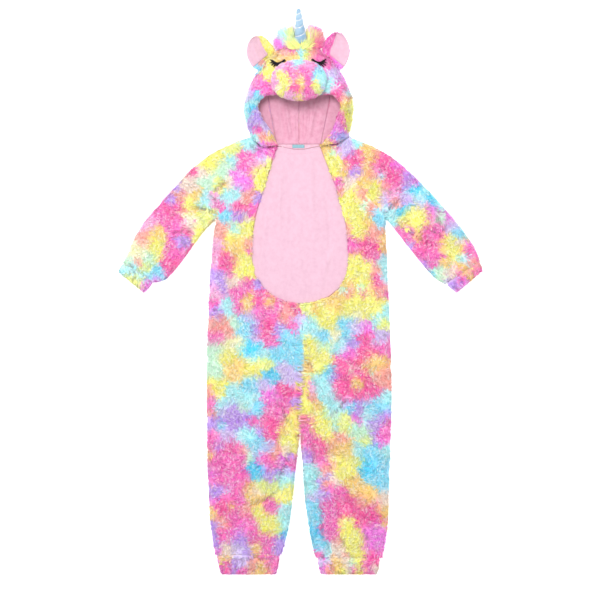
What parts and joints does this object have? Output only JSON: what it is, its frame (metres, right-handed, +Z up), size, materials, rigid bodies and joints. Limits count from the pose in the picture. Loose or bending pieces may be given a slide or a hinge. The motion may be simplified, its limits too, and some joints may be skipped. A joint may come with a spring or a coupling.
{
  "type": "unicorn costume",
  "caption": "Child's hooded one-piece unicorn costume in tie-dyed plush, laid flat, with ears, horn, muzzle and velour front panel.",
  "frame": {"origin": "middle of the laid-out garment's outline, on the surface that it lies on", "axes": "+Y from the ankles to the horn, +X to the right as seen from above, +Z up from the surface"},
  "size_m": [0.8736, 1.3542, 0.1026],
  "materials": {
    "plush_tie_dye": "deep soft pile, matt",
    "mane_pile": "long soft pile, matt",
    "velour_pink": "short velour",
    "lining_pink": "brushed jersey",
    "satin_blue": "satin with silver cord",
    "thread_black": "embroidered",
    "label_grey": "woven"
  },
  "bodies": {
    "root": {"front_left": "plush_tie_dye", "front_right": "plush_tie_dye", "back_left": "plush_tie_dye", "back_right": "plush_tie_dye", "tummy_panel": "velour_pink", "sleeve_left": "plush_tie_dye", "sleeve_right": "plush_tie_dye", "cuff_wrist_left": "plush_tie_dye", "cuff_wrist_right": "plush_tie_dye", "cuff_ankle_left": "plush_tie_dye", "cuff_ankle_right": "plush_tie_dye", "hood_side_left": "plush_tie_dye", "hood_side_right": "plush_tie_dye", "hood_face": "plush_tie_dye", "hood_back_left": "plush_tie_dye", "hood_back_right": "plush_tie_dye", "lining_side_left": "lining_pink", "lining_side_right": "lining_pink", "lining_back_left": "lining_pink", "lining_back_right": "lining_pink", "neck_facing": "velour_pink", "neck_label": "label_grey", "muzzle": "plush_tie_dye", "horn": "satin_blue", "mane_left": "mane_pile", "mane_right": "mane_pile", "ear_left": "plush_tie_dye", "ear_right": "plush_tie_dye", "ear_lining_left": "velour_pink", "ear_lining_right": "velour_pink", "eyelash_left": "thread_black", "eyelash_right": "thread_black"}
  },
  "joints": []
}
